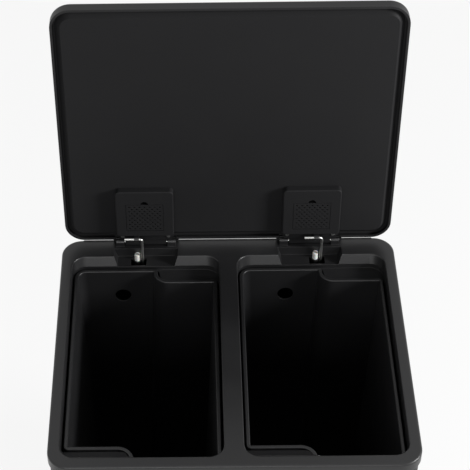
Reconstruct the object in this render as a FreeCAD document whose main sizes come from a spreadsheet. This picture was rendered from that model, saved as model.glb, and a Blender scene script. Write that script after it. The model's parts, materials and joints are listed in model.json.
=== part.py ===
import FreeCAD, Part
import math
import os

import Sketcher

# Double recycling bin, in millimetres: X to the right, Y to the back, Z up, floor at Z = 0.
# It is drawn with its lid open. "depth" values run forward from the rear edge of the top frame.

SIZES = {
    # outside
    "body_width": 480,
    "body_depth": 418,
    "body_height": 600,
    "corner_radius": 29,
    # top frame
    "side_rim": 16,
    "front_rim": 17,
    "rear_rim": 35,
    "divider": 26,
    "frame_wall": 2.4,
    "skirt_height": 16,
    "skirt_wall": 2.2,
    "skirt_round": 3,
    "opening_radius": 20,
    "opening_round": 1.5,
    "slope_run": 6,
    "slope_drop": 14,
    "well_drop": 22,
    "step_width": 86,
    "step_depth": 23,
    "step_outer_radius": 9.5,
    "step_inner_radius": 13,
    "scoop_drop": 18,
    "cut_past": 1,
    # recess of each hinge in the rear rim
    "recess_width": 92,
    "recess_floor_width": 82,
    "recess_drop": 15,
    "recess_depth": 19,
    "rod_hole_offset": 10.75,
    "rod_hole_width": 22.6,
    "rod_hole_rear": 23.3,
    "rod_hole_front": 38.5,
    "rod_hole_radius": 1.5,
    # sheet sleeve
    "shell_gap": 0.3,
    "shell_sheet": 0.8,
    "shell_top_drop": 10,
    "upper_fold": 8,
    "lower_fold": 12,
    # base tray and feet
    "plinth_height": 60,
    "plinth_inset": 5,
    "tray_wall": 2.5,
    "deck_height": 66,
    "deck_gap": 0.5,
    "rail_height": 3,
    "rail_wall": 2,
    "rail_gap": 1.5,
    "foot_height": 4,
    "foot_diameter": 30,
    "foot_inset": 34,
    "foot_stem_diameter": 20,
    "foot_stem": 8,
    "rib_height": 16,
    "rib_wall": 2,
    # hinges and lid
    "hinge_depth": 10,
    "hinge_height": 6,
    "barrel_radius": 5,
    "barrel_width": 59,
    "ear_width": 12,
    "ear_gap": 1.5,
    "pin_diameter": 4,
    "bore_play": 0.1,
    "lid_open_angle": 92,
    "lid_inset": 6.5,
    "lid_rear_inset": 18,
    "lid_gap": 1,
    "lid_height": 19,
    "lid_radius": 28,
    "lid_round": 6,
    "lid_sheet": 1,
    "hem_width": 3.4,
    "hem_height": 1.6,
    "liner_gap": 0.3,
    "liner_wall": 2,
    "liner_flange": 6.1,
    "liner_flange_height": 8,
    "liner_inset": 13.5,
    "liner_height": 1.5,
    "notch_gap": 1.5,
    "notch_height": 13,
    "block_start": 12.3,
    "block_width": 82,
    # hinge brackets
    "web_reach": 12,
    "plate_start": 9.6,
    "plate_end": 22.5,
    "plate_width": 76,
    "plate_thickness": 2.5,
    "plate_radius": 2,
    "boss_width": 7,
    "boss_radius": 4,
    "boss_offset": -2.2,
    # rods and dampers
    "rod_diameter": 4,
    "rod_radius": 24.84,
    "rod_open_angle": 49.9,
    "rod_offset": 5.7,
    "rod_bend": 4,
    "rod_top_length": 25,
    "rod_hook_length": 18,
    "plunger_diameter": 8.5,
    "plunger_offset": -2,
    "plunger_depth": 23.5,
    "plunger_drop": 6.4,
    "plunger_round": 1,
    "plunger_length": 34,
    "plunger_bore_play": 0.15,
    "plunger_hole": 9.5,
    "damper_diameter": 11.2,
    "damper_length": 46,
    "damper_floor": 2.5,
    "collar_width": 16,
    "collar_height": 3,
    # filter housings, doors and pads
    "housing_width": 82,
    "housing_start": 22.9,
    "housing_length": 82,
    "housing_height": 10.5,
    "housing_wall": 1.8,
    "housing_radius": 6,
    "housing_round": 1.6,
    "door_width": 52,
    "door_length": 47,
    "door_gap": 0.5,
    "door_axis_start": 34.4,
    "door_barrel_radius": 1.5,
    "door_pin_diameter": 2,
    "door_pin_length": 2.5,
    "door_pin_play": 0.1,
    "window_gap": 0.3,
    "lug_reach": 3,
    "thumb_notch_radius": 5.4,
    "slot_length": 4,
    "slot_width": 2,
    "slot_pitch": 7.2,
    "slot_row_pitch": 8,
    "slot_columns": 7,
    "slot_rows": 6,
    "grille_start": 37.4,
    "pad_width": 46,
    "pad_length": 44,
    "pad_thickness": 6,
    "pad_gap": 0.3,
    "pad_radius": 2,
    # buckets
    "bucket_gap": 2.8,
    "bead_drop": 17,
    "bead_overhang": 3.3,
    "bead_height": 6,
    "bead_round": 1.4,
    "lip_wall": 1.6,
    "bucket_wall": 2.2,
    "bucket_floor": 2.5,
    "bucket_draft": 16,
    "bag_hole_diameter": 23,
    "bag_hole_side": 71,
    "bag_hole_drop": 47,
    # pedal
    "axle_depth": 260,
    "axle_height": 33,
    "axle_diameter": 8,
    "axle_bearing_offset": 150,
    "bearing_width": 4,
    "bearing_radius": 12,
    "clip_width": 3,
    "clip_gap": 0.3,
    "clip_diameter": 15,
    "axle_end": 5,
    "arm_offset": 9,
    "arm_sheet": 3,
    "arm_height": 15,
    "arm_radius": 6.5,
    "arm_gap": 6,
    "lever_slot_play": 1.2,
    "lever_slot_rise": 1.6,
    "slot_rim": 4,
    "bush_diameter": 12,
    "bush_flange": 16,
    "bush_flange_width": 1.5,
    "cross_plate": 30,
    "tongue_width": 200,
    "pedal_width": 230,
    "pedal_reach": 28,
    "pedal_length": 38,
    "pedal_wall": 3,
    "pedal_skirt": 12,
    "pedal_radius": 12,
    "pedal_gap": 4,
    "pedal_opening_bottom": 8,
    "pedal_rear_radius": 1.5,
    "tread_ribs": 5,
    "tread_rib_width": 2,
    "tread_pitch": 6,
    "tread_height": 1,
    "rod_clip_diameter": 9,
    "rod_clip_width": 2.5,
    # screws
    "screw_diameter": 3,
    "screw_head": 6,
    "screw_head_height": 2,
    "screw_play": 0.1,
    "frame_screw_inset": 7.4,
    "frame_screw_length": 7,
    "frame_boss": 6,
    "side_screw_spacing": 110,
    "base_screw_inset": 11.5,
    "base_screw_length": 6,
    "bracket_screw_spacing": 33,
    "bracket_screw_start": 17,
    "bracket_screw_length": 4,
    "bracket_head": 5.4,
    "bracket_head_height": 1.2,
}

DOC = FreeCAD.newDocument("double_recycling_bin")
SHEET = DOC.addObject("Spreadsheet::Sheet", "Sizes")


class Size:
    """A length, angle or count: its present value and the expression over the sheet that gives it."""

    def __init__(self, value, text):
        self.value = float(value)
        self.text = text

    @staticmethod
    def of(number):
        return number if isinstance(number, Size) else Size(number, repr(number))

    def join(self, sign, other, value):
        return Size(value, f"({self.text} {sign} {other.text})")

    def __add__(self, other):
        other = Size.of(other)
        return self.join("+", other, self.value + other.value)

    def __sub__(self, other):
        other = Size.of(other)
        return self.join("-", other, self.value - other.value)

    def __mul__(self, other):
        other = Size.of(other)
        return self.join("*", other, self.value * other.value)

    def __truediv__(self, other):
        other = Size.of(other)
        return self.join("/", other, self.value / other.value)

    def __radd__(self, other):
        return Size.of(other) + self

    def __rsub__(self, other):
        return Size.of(other) - self

    def __rmul__(self, other):
        return Size.of(other) * self

    def __neg__(self):
        return Size(-self.value, f"(-1 * {self.text})")


def sine(angle):
    return Size(math.sin(math.radians(angle.value)), f"sin({angle.text})")


def cosine(angle):
    return Size(math.cos(math.radians(angle.value)), f"cos({angle.text})")


def arcsine(share):
    return Size(math.degrees(math.asin(share.value)), f"(asin({share.text}) / 1 deg)")


def fill_sheet():
    """Writes every driving size into the sheet and returns them by name."""
    sizes = {}
    for row, (name, number) in enumerate(SIZES.items(), start=1):
        SHEET.set(f"A{row}", name)
        SHEET.set(f"B{row}", str(number))
        SHEET.setAlias(f"B{row}", name)
        sizes[name] = Size(number, f"Sizes.{name}")
    DOC.recompute()
    return sizes


S = fill_sheet()
ZERO = Size(0, "0")
XY, XZ, YZ = "XY_Plane", "XZ_Plane", "YZ_Plane"
SIDES = (("left", -1), ("right", 1))

# places worked out from the driving sizes
HALF_WIDTH = S["body_width"] / 2
HALF_DEPTH = S["body_depth"] / 2
OPENING_WIDTH = (S["body_width"] - 2 * S["side_rim"] - S["divider"]) / 2
MODULE_X = (OPENING_WIDTH + S["divider"]) / 2
OPENING_REAR = S["rear_rim"] + S["slope_run"]
OPENING_FRONT = S["body_depth"] - S["front_rim"]
SHELL_INSET = S["skirt_wall"] + S["shell_gap"]
SHELL_TOP = S["body_height"] - S["shell_top_drop"]
DECK_INSET = SHELL_INSET + S["shell_sheet"] + S["lower_fold"] + S["deck_gap"]
FLOOR_DROP = S["recess_drop"] + S["frame_wall"]
BLOCK_DROP = S["well_drop"] + S["frame_wall"]
HINGE_Y = HALF_DEPTH - S["hinge_depth"]
HINGE_Z = S["body_height"] + S["hinge_height"]
HINGE_ZONE = S["barrel_width"] / 2 + S["ear_gap"] + S["ear_width"]
ROD_CLOSED_ANGLE = S["rod_open_angle"] - S["lid_open_angle"]
ROD_DEPTH = S["hinge_depth"] + S["rod_radius"] * cosine(S["rod_open_angle"])
ROD_Y = HALF_DEPTH - ROD_DEPTH
ROD_Z = HINGE_Z + S["rod_radius"] * sine(S["rod_open_angle"])
ROD_TRAVEL = S["rod_radius"] * (sine(S["rod_open_angle"]) - sine(ROD_CLOSED_ANGLE))
ROD_SWEEP = S["rod_radius"] * (1 - cosine(S["rod_open_angle"]))
LEVER_LENGTH = S["axle_depth"] - ROD_DEPTH - ROD_SWEEP / 2
PEDAL_ANGLE = arcsine(ROD_TRAVEL / 2 / LEVER_LENGTH)
AXLE_Y = HALF_DEPTH - S["axle_depth"]
ROD_LENGTH = ROD_Z - S["axle_height"] - ROD_TRAVEL / 2
BUCKET_HEIGHT = S["body_height"] - S["bead_drop"] - S["deck_height"]
PLUNGER_TOP = S["body_height"] - S["plunger_drop"]
DAMPER_TOP = S["body_height"] - FLOOR_DROP
DOOR_AXIS_Z = S["liner_height"] - S["hinge_height"] - S["housing_height"] + S["door_barrel_radius"]


def from_rear(depth):
    """Y of a point that lies `depth` forward of the rear edge of the frame."""
    return HALF_DEPTH - depth


def hole_x(sign):
    """X of the middle of a rod hole, from the middle of its module."""
    return sign * S["rod_hole_offset"]


# ---------------------------------------------------------------- document helpers


def bind(thing, prop, size):
    """Gives a property its value by an expression over the sheet."""
    thing.setExpression(prop, Size.of(size).text)


def place(thing, x, y, z):
    """Puts a sub-part at a place that follows the sheet."""
    spot = [Size.of(v) for v in (x, y, z)]
    thing.Placement.Base = FreeCAD.Vector(*[v.value for v in spot])
    for axis, size in zip("xyz", spot):
        bind(thing, f"Placement.Base.{axis}", size)


def tilt(thing, direction, angle):
    """Turns a sub-part about the X axis through its origin, positive or negative by direction."""
    axis = FreeCAD.Vector(direction, 0, 0)
    thing.Placement = FreeCAD.Placement(
        thing.Placement.Base, FreeCAD.Rotation(axis, angle.value)
    )
    bind(thing, "Placement.Rotation.Angle", angle)


def new_body(label, x=0, y=0, z=0):
    body = DOC.addObject("PartDesign::Body", label)
    body.Label = label
    place(body, x, y, z)
    return body


def new_sketch(body, plane, level, draw):
    """A sketch on an origin plane of the body, moved to `level` along X, Y or Z."""
    sketch = body.newObject("Sketcher::SketchObject", "Sketch")
    support = [f for f in body.Origin.OriginFeatures if f.Role == plane]
    sketch.AttachmentSupport = [(support[0], "")]
    sketch.MapMode = "FlatFace"
    bind(sketch, "AttachmentOffset.Base.z", -Size.of(level) if plane == XZ else level)
    draw(sketch)
    sketch.Visibility = False
    return sketch


def extrude(body, kind, plane, level, length, draw, reverse, centred):
    feature = body.newObject(kind, kind.split("::")[1])
    feature.Profile = new_sketch(body, plane, level, draw)
    bind(feature, "Length", length)
    feature.Reversed = reverse
    feature.Midplane = centred
    feature.Refine = False
    return feature


def pad(body, plane, level, length, draw, reverse=False, centred=False):
    """Adds material from `level` along the plane's normal: up, to the right or to the front."""
    return extrude(body, "PartDesign::Pad", plane, level, length, draw, reverse, centred)


def pocket(body, plane, level, length, draw, reverse=False, centred=False):
    """Cuts from `level` against the plane's normal: down, to the left or to the back."""
    return extrude(body, "PartDesign::Pocket", plane, level, length, draw, reverse, centred)


def loft(body, kind, low, draw_low, high, draw_high):
    """A straight loft between two outlines on levels low and high."""
    feature = body.newObject(kind, kind.split("::")[1])
    feature.Profile = new_sketch(body, XY, low, draw_low)
    feature.Sections = [(new_sketch(body, XY, high, draw_high), "")]
    feature.Ruled = True
    feature.Refine = False
    return feature


def round_edges(body, radius, wanted):
    """Rounds the edges of the body so far for which wanted(edge) is true."""
    DOC.recompute()
    base = body.Tip
    names = [f"Edge{i}" for i, e in enumerate(base.Shape.Edges, start=1) if wanted(e)]
    feature = body.newObject("PartDesign::Fillet", "Fillet")
    feature.Base = (base, names)
    feature.Refine = False
    bind(feature, "Radius", radius)
    return feature


def lies_at(edge, axis, value):
    """Whether the whole edge lies in the plane where the coordinate `axis` has this value."""
    box = edge.BoundBox
    low, high = (getattr(box, f"{axis}{end}") for end in ("Min", "Max"))
    return abs(low - value.value) < 0.01 and abs(high - value.value) < 0.01


# ---------------------------------------------------------------- outlines


def fix_point(sketch, rules, geometry, end, x, y):
    """Ties a point of the sketch to its place from the origin."""
    for kind, size in (("DistanceX", x), ("DistanceY", y)):
        rules.append((Sketcher.Constraint(kind, -1, 1, geometry, end, size.value), size))


def add_rules(sketch, rules):
    first = sketch.ConstraintCount
    sketch.addConstraint([rule for rule, _ in rules])
    for number, (_, size) in enumerate(rules, start=first):
        if size is not None:
            bind(sketch, f"Constraints[{number}]", size)


def polygon(points):
    """Draws a closed outline with sharp corners."""
    points = [(Size.of(x), Size.of(y)) for x, y in points]

    def draw(sketch):
        first = sketch.GeometryCount
        count = len(points)
        spots = [FreeCAD.Vector(x.value, y.value, 0) for x, y in points]
        rules = []
        for i in range(count):
            line = Part.LineSegment(spots[i], spots[(i + 1) % count])
            sketch.addGeometry(line, False)
        for i, (x, y) in enumerate(points):
            following = first + (i + 1) % count
            rules.append((Sketcher.Constraint("Coincident", first + i, 2, following, 1), None))
            fix_point(sketch, rules, first + i, 1, x, y)
        add_rules(sketch, rules)

    return draw


def box(x_low, x_high, y_low, y_high):
    """Draws a rectangle with sharp corners."""
    return polygon([(x_low, y_low), (x_high, y_low), (x_high, y_high), (x_low, y_high)])


def circle(x, y, diameter):
    x, y = Size.of(x), Size.of(y)
    diameter = Size.of(diameter)

    def draw(sketch):
        spot = FreeCAD.Vector(x.value, y.value, 0)
        ring = Part.Circle(spot, FreeCAD.Vector(0, 0, 1), diameter.value / 2)
        number = sketch.addGeometry(ring, False)
        rules = [(Sketcher.Constraint("Diameter", number, diameter.value), diameter)]
        fix_point(sketch, rules, number, 3, x, y)
        add_rules(sketch, rules)

    return draw


def arch(x, y, radius, base):
    """Draws a half round about (x, y) with straight sides to the level `base`."""
    x, y, radius, base = (Size.of(v) for v in (x, y, radius, base))

    def draw(sketch):
        first = sketch.GeometryCount
        left, right = x - radius, x + radius
        spots = [(left, y), (left, base), (right, base), (right, y)]
        points = [FreeCAD.Vector(a.value, b.value, 0) for a, b in spots]
        for i in range(3):
            sketch.addGeometry(Part.LineSegment(points[i], points[i + 1]), False)
        centre = FreeCAD.Vector(x.value, y.value, 0)
        begin = 0 if base.value < y.value else math.pi
        ring = Part.Circle(centre, FreeCAD.Vector(0, 0, 1), radius.value)
        number = sketch.addGeometry(Part.ArcOfCircle(ring, begin, begin + math.pi), False)
        at_right, at_left = (1, 2) if base.value < y.value else (2, 1)
        rules = [
            (Sketcher.Constraint("Tangent", first + 2, 2, number, at_right), None),
            (Sketcher.Constraint("Tangent", number, at_left, first, 1), None),
            (Sketcher.Constraint("Coincident", first, 2, first + 1, 1), None),
            (Sketcher.Constraint("Coincident", first + 1, 2, first + 2, 1), None),
            (Sketcher.Constraint("Vertical", first), None),
            (Sketcher.Constraint("Horizontal", first + 1), None),
            (Sketcher.Constraint("Radius", number, radius.value), radius),
            (Sketcher.Constraint("DistanceY", -1, 1, first, 2, base.value), base),
        ]
        fix_point(sketch, rules, number, 3, x, y)
        add_rules(sketch, rules)

    return draw


def rounded(corners):
    """Draws a closed outline of level and upright lines, each corner (x, y, radius) rounded."""
    corners = [tuple(Size.of(v) for v in corner) for corner in corners]

    def draw(sketch):
        count = len(corners)
        spots = [FreeCAD.Vector(x.value, y.value, 0) for x, y, _ in corners]
        ahead = [(spots[(i + 1) % count] - spots[i]).normalize() for i in range(count)]
        first = sketch.GeometryCount
        rules = []
        for i in range(count):
            start = spots[i] + ahead[i] * corners[i][2].value
            end = spots[(i + 1) % count] - ahead[i] * corners[(i + 1) % count][2].value
            sketch.addGeometry(Part.LineSegment(start, end), False)
        for i, (x, y, radius) in enumerate(corners):
            back, on = ahead[i - 1], ahead[i]
            centre = spots[i] + (on - back) * radius.value
            turns_left = back.cross(on).z > 0
            begin = math.atan2(*reversed((-on if turns_left else back)[:2]))
            arc = Part.ArcOfCircle(
                Part.Circle(centre, FreeCAD.Vector(0, 0, 1), radius.value),
                begin,
                begin + math.pi / 2,
            )
            number = sketch.addGeometry(arc, False)
            before, after = first + (i - 1) % count, first + i
            entry, leave = (1, 2) if turns_left else (2, 1)
            rules.append((Sketcher.Constraint("Tangent", before, 2, number, entry), None))
            rules.append((Sketcher.Constraint("Tangent", number, leave, after, 1), None))
            rules.append((Sketcher.Constraint("Radius", number, radius.value), radius))
            level = abs(on.y) < 0.5
            rules.append((Sketcher.Constraint("Horizontal" if level else "Vertical", after), None))
            kind, size = ("DistanceY", y) if level else ("DistanceX", x)
            rules.append((Sketcher.Constraint(kind, -1, 1, after, 1, size.value), size))
        add_rules(sketch, rules)

    return draw


def both(*drawings):
    """Draws several outlines into one sketch; an inner one leaves a hole."""

    def draw(sketch):
        for drawing in drawings:
            drawing(sketch)

    return draw


def rounded_box(x_low, x_high, y_low, y_high, radius):
    return rounded(
        [
            (x_low, y_low, radius),
            (x_high, y_low, radius),
            (x_high, y_high, radius),
            (x_low, y_high, radius),
        ]
    )


def body_outline(inset):
    """The plan of the bin, drawn in by `inset`."""
    x = HALF_WIDTH - inset
    y = HALF_DEPTH - inset
    return rounded_box(-x, x, -y, y, S["corner_radius"] - inset)


def opening_outline(side, rear, growth):
    """The plan of a frame opening about its own middle, `growth` larger on every side."""
    x = OPENING_WIDTH / 2 + growth
    back = from_rear(rear) + growth
    front = from_rear(OPENING_FRONT) - growth
    return rounded_box(side - x, side + x, front, back, S["opening_radius"] + growth)


def stepped_outline(side, inset, draft=ZERO):
    """The plan of a bucket: a rectangle with a step at the rear right and at the front left.

    `inset` lies inside the frame opening and changes the corner radii with it; `draft` only moves
    the walls in.
    """
    inward = inset + draft
    left = side - OPENING_WIDTH / 2 + inward
    right = side + OPENING_WIDTH / 2 - inward
    rear = from_rear(OPENING_REAR) - inward
    front = from_rear(OPENING_FRONT) + inward
    rear_step = right - S["step_width"]
    front_step = left + S["step_width"]
    corner = S["opening_radius"] - inset
    outer = S["step_outer_radius"] - inset
    inner = S["step_inner_radius"] + inset
    return rounded(
        [
            (left, rear, corner),
            (left, front + S["step_depth"], outer),
            (front_step, front + S["step_depth"], inner),
            (front_step, front, outer),
            (right, front, corner),
            (right, rear - S["step_depth"], outer),
            (rear_step, rear - S["step_depth"], inner),
            (rear_step, rear, outer),
        ]
    )


def lid_y(depth):
    """Y in the lid, measured from its hinge, of a point `depth` forward of the frame's rear edge."""
    return S["hinge_depth"] - depth


def lid_z(height):
    """Z in the lid, measured from its hinge, of a point `height` above the frame with the lid shut."""
    return height - S["hinge_height"]


def lid_outline(inset):
    x = HALF_WIDTH - S["lid_inset"] - inset
    rear = lid_y(S["lid_rear_inset"] + inset)
    front = lid_y(S["body_depth"] - S["lid_inset"] - inset)
    return rounded_box(-x, x, front, rear, S["lid_radius"] - inset)


# ---------------------------------------------------------------- screws


def frame_screw_places():
    x = HALF_WIDTH - S["frame_screw_inset"]
    y = HALF_DEPTH - S["frame_screw_inset"]
    along = S["side_screw_spacing"]
    sides = [(sx * x, sy * along) for sx in (-1, 1) for sy in (-1, 1)]
    ends = [(sx * MODULE_X, sy * y) for sx in (-1, 1) for sy in (-1, 1)]
    return sides + ends


def base_screw_places():
    x = HALF_WIDTH - S["base_screw_inset"]
    y = HALF_DEPTH - S["base_screw_inset"]
    along = S["side_screw_spacing"]
    sides = [(sx * x, sy * along) for sx in (-1, 1) for sy in (-1, 1)]
    return sides + [(sx * MODULE_X, y) for sx in (-1, 1)]


def cylinder(name, diameter, length, x, y, z, along_x=False):
    """A cylinder that starts at a point and runs up, or to the right."""
    solid = DOC.addObject("Part::Cylinder", name)
    bind(solid, "Radius", diameter / 2)
    bind(solid, "Height", length)
    place(solid, x, y, z)
    if along_x:
        turn = FreeCAD.Rotation(FreeCAD.Vector(0, 1, 0), 90)
        solid.Placement = FreeCAD.Placement(solid.Placement.Base, turn)
    return solid


def fused(name, *solids):
    union = DOC.addObject("Part::MultiFuse", name)
    union.Shapes = list(solids)
    return union


def cut(name, base, tool):
    difference = DOC.addObject("Part::Cut", name)
    difference.Base = base
    difference.Tool = tool
    return difference


def group(label, solids):
    """Separate like solids that make one sub-part."""
    compound = DOC.addObject("Part::Compound", label)
    compound.Label = label
    compound.Links = solids
    return compound


def screw_group(label, places, seat, length, head, head_height):
    """Screws that point up, their heads below the level `seat`."""
    screws = []
    for x, y in places:
        shank = cylinder("Shank", S["screw_diameter"], length, x, y, seat)
        top = cylinder("Head", head, head_height, x, y, seat - head_height)
        screws.append(fused("Screw", shank, top))
    return group(label, screws)


# ---------------------------------------------------------------- body of the bin


def make_outer_shell():
    """Sheet sleeve with an inward fold at each end."""
    body = new_body("outer_shell")
    inside = SHELL_INSET + S["shell_sheet"]
    bottom = S["plinth_height"]
    pad(body, XY, bottom, SHELL_TOP - bottom, both(body_outline(SHELL_INSET), body_outline(inside)))
    lower = both(body_outline(SHELL_INSET), body_outline(inside + S["lower_fold"]))
    pad(body, XY, bottom, S["shell_sheet"], lower)
    upper = both(body_outline(SHELL_INSET), body_outline(inside + S["upper_fold"]))
    pad(body, XY, SHELL_TOP, S["shell_sheet"], upper, reverse=True)
    hole = S["screw_diameter"] + S["screw_play"] * 2
    for level, places in (
        (bottom + S["shell_sheet"], base_screw_places()),
        (SHELL_TOP, frame_screw_places()),
    ):
        holes = both(*[circle(x, y, hole) for x, y in places])
        pocket(body, XY, level, S["shell_sheet"], holes)
    return body


def make_top_frame():
    """Moulded frame: rim, two openings with finger wells, hinge recesses and ears."""
    body = new_body("top_frame", z=S["body_height"])
    middles = [sign * MODULE_X for _, sign in SIDES]
    skirt = S["skirt_height"]
    pad(body, XY, -skirt, skirt, body_outline(ZERO))
    round_edges(body, S["skirt_round"], lambda e: lies_at(e, "Z", ZERO))
    hollow = body_outline(S["skirt_wall"])
    pocket(body, XY, -skirt, skirt - S["frame_wall"], hollow, reverse=True)
    blocks = [opening_outline(x, S["rear_rim"], S["frame_wall"]) for x in middles]
    pad(body, XY, -BLOCK_DROP, BLOCK_DROP, both(*blocks))
    reach = S["recess_width"] / 2 + S["frame_wall"]
    back = from_rear(S["recess_depth"] - S["frame_wall"])
    behind = [box(x - reach, x + reach, from_rear(OPENING_REAR), back) for x in middles]
    pad(body, XY, -FLOOR_DROP, FLOOR_DROP, both(*behind))
    for middle in middles:
        loft(
            body,
            "PartDesign::SubtractiveLoft",
            -S["slope_drop"],
            opening_outline(middle, OPENING_REAR, ZERO),
            ZERO,
            opening_outline(middle, S["rear_rim"], ZERO),
        )
    lower = [opening_outline(x, OPENING_REAR, ZERO) for x in middles]
    pocket(body, XY, -S["slope_drop"], S["well_drop"] - S["slope_drop"], both(*lower))
    round_edges(body, S["opening_round"], is_opening_edge)
    for middle in middles:
        add_scoop(body, middle)
    pocket(body, XY, -S["well_drop"], BLOCK_DROP, both(*[under_scoop(x) for x in middles]))
    through = [stepped_outline(x, ZERO) for x in middles]
    pocket(body, XY, ZERO, BLOCK_DROP * 2, both(*through), centred=True)
    cut_recesses(body)
    add_ears(body)
    add_frame_bosses(body)
    return body


def is_opening_edge(edge):
    """An edge at the top of an opening, inside the rims."""
    corner = edge.BoundBox
    side = max(abs(corner.XMin), abs(corner.XMax)) < HALF_WIDTH.value - S["side_rim"].value + 0.01
    end = max(abs(corner.YMin), abs(corner.YMax)) < HALF_DEPTH.value - S["front_rim"].value + 0.01
    return lies_at(edge, "Z", ZERO) and side and end


def add_scoop(body, middle):
    """Front left finger well: a floor that slopes from the rim down to the bucket."""
    left = middle - OPENING_WIDTH / 2
    rim = from_rear(OPENING_FRONT)
    inner = rim + S["step_depth"]
    wall = S["frame_wall"]
    slope = [
        (rim, ZERO),
        (inner, -S["scoop_drop"]),
        (inner, -BLOCK_DROP),
        (inner - wall, -BLOCK_DROP),
        (inner - wall, -S["scoop_drop"] - wall),
        (rim, -wall * 2),
    ]
    pad(body, YZ, left, S["step_width"] + S["step_outer_radius"], polygon(slope))


def under_scoop(middle):
    """The hollow under the sloping floor of a scoop."""
    left = middle - OPENING_WIDTH / 2
    rim = from_rear(OPENING_FRONT)
    return box(left, left + S["step_width"], rim, rim + S["step_depth"] - S["frame_wall"])


def cut_recesses(body):
    """Hinge recesses with sloping ends, their rod holes and the round holes of the plungers."""
    wide = S["recess_width"] / 2
    narrow = S["recess_floor_width"] / 2
    drop = S["recess_drop"]
    past = S["cut_past"]
    above = wide + (wide - narrow) * past / drop
    recesses, slots, round_holes = [], [], []
    for _, sign in SIDES:
        middle = sign * MODULE_X
        outline = [
            (middle - narrow, -drop),
            (middle + narrow, -drop),
            (middle + above, past),
            (middle - above, past),
        ]
        recesses.append(polygon(outline))
        hole = middle + hole_x(sign)
        slots.append(
            rounded_box(
                hole - S["rod_hole_width"] / 2,
                hole + S["rod_hole_width"] / 2,
                from_rear(S["rod_hole_front"]),
                from_rear(S["rod_hole_rear"]),
                S["rod_hole_radius"],
            )
        )
        plunger_y = from_rear(S["plunger_depth"])
        round_holes.append(circle(hole + S["plunger_offset"], plunger_y, S["plunger_hole"]))
    length = OPENING_REAR - S["recess_depth"] + past
    pocket(body, XZ, from_rear(OPENING_REAR) - past, length, both(*recesses))
    pocket(body, XY, -drop, BLOCK_DROP, both(*slots))
    pocket(body, XY, -drop, BLOCK_DROP, both(*round_holes))


def add_ears(body):
    """Ears that hold the hinge pins: a bar with a round top, cut away between the ears."""
    axis_y, axis_z = from_rear(S["hinge_depth"]), S["hinge_height"]
    reach = MODULE_X + HINGE_ZONE
    bar = arch(axis_y, axis_z, S["barrel_radius"], -S["frame_wall"] / 2)
    pad(body, YZ, ZERO, reach * 2, bar, centred=True)
    beyond = S["barrel_radius"] + S["cut_past"]
    low, high = axis_y - beyond, axis_y + beyond
    inner = MODULE_X - HINGE_ZONE
    gaps = [box(-inner, inner, low, high)]
    half = HINGE_ZONE - S["ear_width"]
    for _, sign in SIDES:
        middle = sign * MODULE_X
        gaps.append(box(middle - half, middle + half, low, high))
    height = axis_z + beyond
    pocket(body, XY, height, height, both(*gaps))
    bore = circle(axis_y, axis_z, S["pin_diameter"] + S["bore_play"])
    pocket(body, YZ, ZERO, (reach + S["cut_past"]) * 2, bore, centred=True)


def add_frame_bosses(body):
    """Screw bosses that stand on the upper fold of the sleeve."""
    bottom = -S["shell_top_drop"]
    height = S["shell_top_drop"] - S["frame_wall"] / 2
    places = frame_screw_places()
    pad(body, XY, bottom, height, both(*[circle(x, y, S["frame_boss"]) for x, y in places]))
    hole = S["screw_diameter"] + S["screw_play"]
    depth = S["frame_screw_length"] - S["shell_sheet"] + S["bore_play"]
    holes = both(*[circle(x, y, hole) for x, y in places])
    pocket(body, XY, bottom, depth, holes, reverse=True)


def make_base_tray():
    """Plinth with a raised deck, axle bearings, foot sockets and the pedal opening."""
    body = new_body("base_tray")
    wall = S["tray_wall"]
    ledge = S["plinth_height"] - wall
    deck = S["deck_height"]
    plinth = S["plinth_inset"]
    pad(body, XY, ledge, wall, body_outline(SHELL_INSET))
    skirt = both(body_outline(plinth), body_outline(plinth + wall))
    pad(body, XY, S["foot_height"], ledge - S["foot_height"] + wall / 2, skirt)
    pad(body, XY, ledge, deck - ledge, body_outline(DECK_INSET))
    pocket(body, XY, ledge, deck - ledge - wall, body_outline(DECK_INSET + wall), reverse=True)
    add_bucket_rails(body)
    add_tray_ribs(body)
    add_bearings(body)
    add_foot_sockets(body)
    cut_tray_openings(body)
    return body


def add_bucket_rails(body):
    """A low rail round the foot of each bucket."""
    inner = S["bucket_gap"] + S["bead_overhang"] - S["rail_gap"]
    outer = inner - S["rail_wall"]
    outlines = [
        stepped_outline(sign * MODULE_X, inset, S["bucket_draft"])
        for _, sign in SIDES
        for inset in (outer, inner)
    ]
    pad(body, XY, S["deck_height"], S["rail_height"], both(*outlines))


def add_tray_ribs(body):
    """Lengthwise ribs under the deck, between the lever arms."""
    under = S["deck_height"] - S["tray_wall"]
    reach = HALF_DEPTH - DECK_INSET - S["tray_wall"] / 2
    ribs = []
    for share in (-1, 0, 1):
        x = share * S["tongue_width"] / 4
        half = S["rib_wall"] / 2
        ribs.append(box(x - half, x + half, -reach + S["cross_plate"] * 2, reach))
    height = S["rib_height"] + S["tray_wall"] / 2
    pad(body, XY, under - S["rib_height"], height, both(*ribs))


def add_bearings(body):
    """Two plates under the deck that carry the ends of the pedal axle."""
    under = S["deck_height"] - S["tray_wall"] / 2
    plate = arch(AXLE_Y, S["axle_height"], S["bearing_radius"], under)
    for _, sign in SIDES:
        start = sign * S["axle_bearing_offset"]
        pad(body, YZ, start, S["bearing_width"], plate, centred=True)
    bore = circle(AXLE_Y, S["axle_height"], S["axle_diameter"] + S["bore_play"])
    pocket(body, YZ, ZERO, S["axle_bearing_offset"] * 2 + S["bearing_width"] * 2, bore, centred=True)


def foot_places():
    x = HALF_WIDTH - S["foot_inset"]
    y = HALF_DEPTH - S["foot_inset"]
    return [(sx * x, sy * y) for sx in (-1, 1) for sy in (-1, 1)]


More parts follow.
